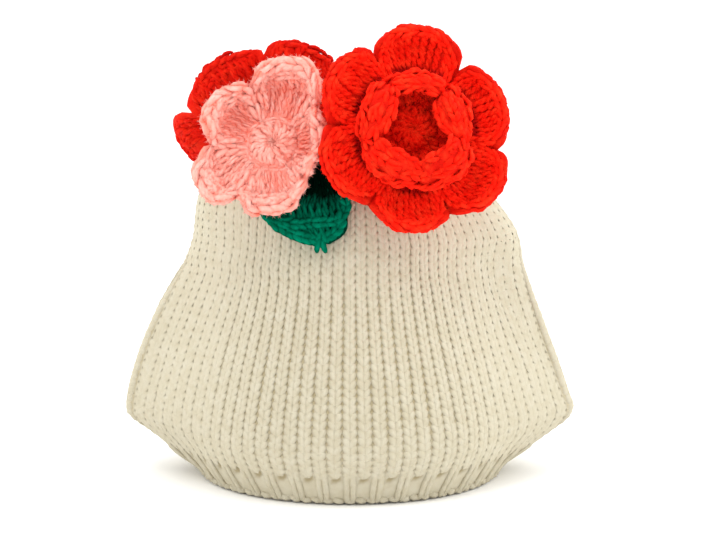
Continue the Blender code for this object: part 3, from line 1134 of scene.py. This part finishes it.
def crochetCloth(name):
    flower = flowers[name]
    petals = len(flower["petals"])
    obj, grid = gridCloth(name + "_cloth", 24 * petals, 16)
    turn = (grid[:, 0] + 1) / 2 * petals
    out = (grid[:, 1] + 1) / 2 * 0.99
    points, _ = petalPoint(flower, turn, out, 0)
    setPoints(obj, points)
    bm = bmesh.new()
    bm.from_mesh(obj.data)
    bmesh.ops.remove_doubles(bm, verts=bm.verts, dist=0.002 * mm)
    bmesh.ops.recalc_face_normals(bm, faces=bm.faces)
    bm.to_mesh(obj.data)
    bm.free()
    thicken(obj, crochet["clothThickness"], 0, crochet["clothShade"][flower["wool"]])
    return finishPiece(obj, flower["wool"], name)


# a post is a pair of strands that twist half round each other in every stitch
def twistedPair(radius, pitch, thick):
    strands = []
    for start in (0, math.pi):
        path = []
        for k in range(-1, 5):
            share = k / 3
            angle = start + math.pi * share
            tuck = 0.0 if 0 <= k <= 3 else 1.0
            path.append((
                radius * math.cos(angle) * (1 - 0.4 * tuck),
                share * pitch,
                radius * 0.75 * math.sin(angle) - 0.8 * tuck * thick,
                thick * (1 - 0.45 * tuck),
                thick * (1 - 0.45 * tuck),
            ))
        strands.append(path)
    return strands


# V of a rim or of a ring of chain stitches, for a pitch of 3.6 mm
rimLeg = (
    (0.25, -1.60, -0.90, 0.70, 0.65),
    (0.75, -0.15, 0.15, 1.15, 1.05),
    (1.25, 1.40, 0.50, 1.35, 1.20),
    (1.65, 2.90, 0.20, 1.20, 1.10),
    (1.75, 4.30, -0.85, 0.70, 0.65),
)


def crochetPosts(name, rng):
    flower = flowers[name]
    start = 0.31 if flower["full"] > 30 else 0.24
    runs = []
    for petal, (_, length, _, cup, *_) in enumerate(flower["petals"]):
        for face, posts in zip((1, -1), flower["posts"]):
            for k in range(posts):
                across = ((k + 0.5) / posts * 2 - 1) * 0.84
                across += rng.uniform(-0.25, 0.25) / posts
                out = np.linspace(start, 0.92, 40)
                turn = petal + across / 2 * (1.12 - 0.26 * out)
                arc = math.radians(360 / len(flower["petals"])) * 0.86 / posts
                inner = np.clip(arc * 12 / 2.4, 0.5, 1.4)
                outer = np.clip(arc * length / 2.7, 0.6, 1.6)
                run = petalRun(
                    flower, turn, out, 1, (inner, (inner + outer) / 2, outer), (0.9, 1.0, 1.0),
                    face=face, lift=0.85 + rng.uniform(-0.15, 0.25), loose=0.8 * flower["loose"],
                    shift=rng.uniform(-0.3, 0.3), front=face > 0, deep=flower["deepPosts"] * (cup > 1),
                )
                run["count"] = max(round(runLength(run) / (3.6 if face > 0 else 5.5)), 2)
                runs.append(run)
    stitch = stitchMesh("postStitch", twistedPair(0.62, 3.8, 0.88), 4)
    obj = layAlong(name + "_posts", stitch, runs, 3.8, rng)
    counts = np.array([run["count"] for run in runs])
    counts *= len(obj.data.vertices) // counts.sum()
    deep, front = (np.repeat([run[key] for run in runs], counts) for key in ("deep", "front"))
    away = np.linalg.norm(meshPoints(obj) / mm - np.array(flower["place"][0]), axis=1)
    # painted shade: over a whole flower that lies behind another, in the hollows of cupped petals, and
    # round the pads of the flower on top
    addPaintedShade(obj, flower["darker"] + deep)
    addPaintedShade(obj, flower["underPads"] * front * (1 - ease(away, 23, 28)))
    return finishPiece(obj, flower["wool"])


def crochetRims(name, rng):
    # rounds of chain stitches. The outermost ones run down into the creases beside each petal
    flower = flowers[name]
    padded = flower["bulge"] > 0
    blunt = 1.0 if padded else 0.7
    runs = []
    for edge, face, wide in flower["rounds"]:
        for petal in range(len(flower["petals"])):
            angle = np.linspace(math.pi, 0, 90)
            if edge > 0.86 and not padded:
                across = (0.87 - 2 * (0.955 - min(edge, 0.955))) * np.sign(np.cos(angle))
                across *= np.abs(np.cos(angle)) ** 0.55
                out = 0.34 + (edge - 0.34) * np.sin(angle) ** 0.45
            else:
                across = (0.87 if padded else 0.86) * np.cos(angle)
                out = edge
            ends = (blunt * wide, 0.95 * wide, wide, wide, 0.95 * wide, blunt * wide)
            run = petalRun(
                flower, petal + across / 2, out, 1, ends, [0.95 * value for value in ends],
                face=face, lift=0.85 if face > 0 else 0.6, loose=flower["loose"],
            )
            run["shift"] = rng.uniform(-0.5, 0.5)
            run["count"] = max(round(runLength(run) / (4.0 * wide)), 2)
            runs.append(run)
    stitch = stitchMesh("rimStitch", bothSides(rimLeg), 4)
    obj = layAlong(name + "_rims", stitch, runs, 3.6, rng)
    # painted shade over a whole flower that lies behind another
    addPaintedShade(obj, flower["darker"])
    return finishPiece(obj, flower["wool"])


def crochetMiddle(name, rng):
    # short stitches from the hole outwards, and a round of chain stitches about them
    flower = flowers[name]
    petals = len(flower["petals"])
    table = flower["table"]
    ringOut = np.interp(crochet["ringRadius"], table[:, 1], table[:, 0])
    runs = []
    for k in range(crochet["spokes"]):
        turn = k / crochet["spokes"] * petals
        runs.append(petalRun(
            flower, turn, np.linspace(0.015, ringOut * 0.96, 12), 3, (0.4, 1.05, 1.4), (0.8, 1.25, 1.0),
            lift=0.8, loose=0.25, shift=rng.uniform(-0.3, 0.3),
        ))
    stitch = stitchMesh("middleStitch", twistedPair(0.65, 3.2, 0.85), 4)
    middle = layAlong(name + "_middle", stitch, runs, 3.2, rng)
    # painted shade on the middle stitches, kept to a tenth in the small flower's hollow
    addPaintedShade(middle, 0, 0.1 if flower["bulge"] else 1)
    turn = np.linspace(0, petals, 120)
    run = petalRun(flower, turn, ringOut * 1.12, 19, (0.6, 0.6), (0.7, 0.7), lift=0.1, loose=0.25)
    ring = layAlong(name + "_ring", stitchMesh("ringStitch", bothSides(rimLeg)), [run], 3.6, rng)
    return [finishPiece(obj, flower["wool"]) for obj in (middle, ring)]


for name, flower in flowers.items():
    cloth = crochetCloth(name)
    rims = crochetRims(name, rng)
    onCloth = [crochetPosts(name, rng), rims, *crochetMiddle(name, rng)]
    hairy = onCloth + [rims] * 3     # the rims are hairier than the rest
    onCloth.append(addFuzz(name + "_fuzz", hairy, *flower["fuzz"], flower["wool"], rng))
    print(name, "is crocheted")


# Leaf

leaf = {
    "thickness": 1.5,
    "roll": 1.8,
    "vein": 1.0,
    "posts": 11,
    "fuzz": (2000, 1.2, 0.055),
}
leafRows = (
    # height, middle x, front distance, half width
    (137.0, -12.0, 40.0, 5.0),
    (131.0, -13.2, 43.5, 7.8),
    (125.0, -15.2, 47.0, 12.8),
    (119.0, -17.8, 49.8, 18.2),
    (114.5, -17.4, 51.4, 17.4),
    (110.0, -15.6, 52.5, 15.2),
    (107.0, -14.2, 52.7, 11.0),
    (105.2, -13.4, 53.1, 6.6),
    (103.6, -12.4, 53.4, 3.0),
)
leafTable = smoothTable([(-row[0], *row[1:]) for row in leafRows], 0.25)


def leafSpot(across, down):
    # down is 0 at the tucked end and 1 at the tip
    height = leafRows[0][0] + (leafRows[-1][0] - leafRows[0][0]) * np.clip(down, 0, 1.07)
    middle, front, half = (np.interp(-height, leafTable[:, 0], leafTable[:, k]) for k in (1, 2, 3))
    forward = leaf["roll"] * np.abs(across) ** 3 - leaf["vein"] * np.exp(-(across / 0.22) ** 2)
    forward = forward * half / 18.2
    around = half * across
    return np.stack((middle + around, -front - forward + around ** 2 / 104, height), -1)


def leafPoint(across, down):
    across, down = asArrays(across, down)
    normal = facing(leafSpot, across, down)
    normal *= np.where(normal[..., 1:2] > 0, -1, 1)
    return leafSpot(across, down), normal


def leafRun(across, down, *stitches, **more):
    return makeRun(*leafPoint(across, down), *stitches, **more)


def crochetLeaf(rng):
    cloth, grid = gridCloth("leaf_cloth", 24, 30)
    points, _ = leafPoint(grid[:, 0] * 0.95, (1 - grid[:, 1]) / 2 * 0.97)
    setPoints(cloth, points)
    # painted shade on the cloth between the stitches
    thicken(cloth, leaf["thickness"], 0, 0.9)
    finishPiece(cloth, "green", "leaf")
    runs = []
    for k in range(leaf["posts"]):
        across = ((k + 0.5) / leaf["posts"] * 2 - 1) * 0.82
        down = np.linspace(0.06, 0.96 - 0.38 * across ** 2, 40)
        for face in (1, -1):
            runs.append(leafRun(
                across, down, 6, (0.5, 0.9, 1.0, 0.9), (0.9, 1.0, 1.0), face=face, lift=0.8, loose=0.2
            ))
    posts = layAlong("leaf_posts", stitchMesh("leafStitch", twistedPair(0.7, 4.0, 0.85), 4), runs, 4.0, rng)
    # painted shade: the tucked end lies in the dark
    addPaintedShade(posts, 1.2 * ease(meshPoints(posts)[:, 2] / mm, 117, 127))
    angle = np.linspace(math.pi, 0, 90)
    across = 0.93 * np.sign(np.cos(angle)) * np.abs(np.cos(angle)) ** 0.8
    down = 0.25 + 0.70 * np.sin(angle) ** 0.75
    inside = 0.66 + 0.08 * np.sin(angle)
    runs = [
        leafRun(across, down, 22, (0.8, 0.9, 0.9, 0.8), (0.9, 1.0, 1.0, 0.9), lift=0.8, loose=0.2),
        leafRun(0.8 * np.cos(angle), inside, 10, (0.8, 0.9, 0.8), (1.0, 1.1, 1.0), lift=1.2, loose=0.25),
        leafRun(0.3, np.linspace(0.86, 1.06, 12), 2, (0.8, 1.0), (1.3, 1.5), lift=1.0),
    ]
    rim = layAlong("leaf_rim", stitchMesh("leafRimStitch", bothSides(rimLeg)), runs, 3.6, rng)
    onCloth = [finishPiece(obj, "green") for obj in (posts, rim)]
    onCloth.append(addFuzz("leaf_fuzz", onCloth, *leaf["fuzz"], "green", rng))
    print("leaf is crocheted")


crochetLeaf(rng)


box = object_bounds()
for name, corners in (("CAD", cadBox), ("visual", box)):
    print(name, "box", [[round(v, 4) for v in corner] for corner in corners])
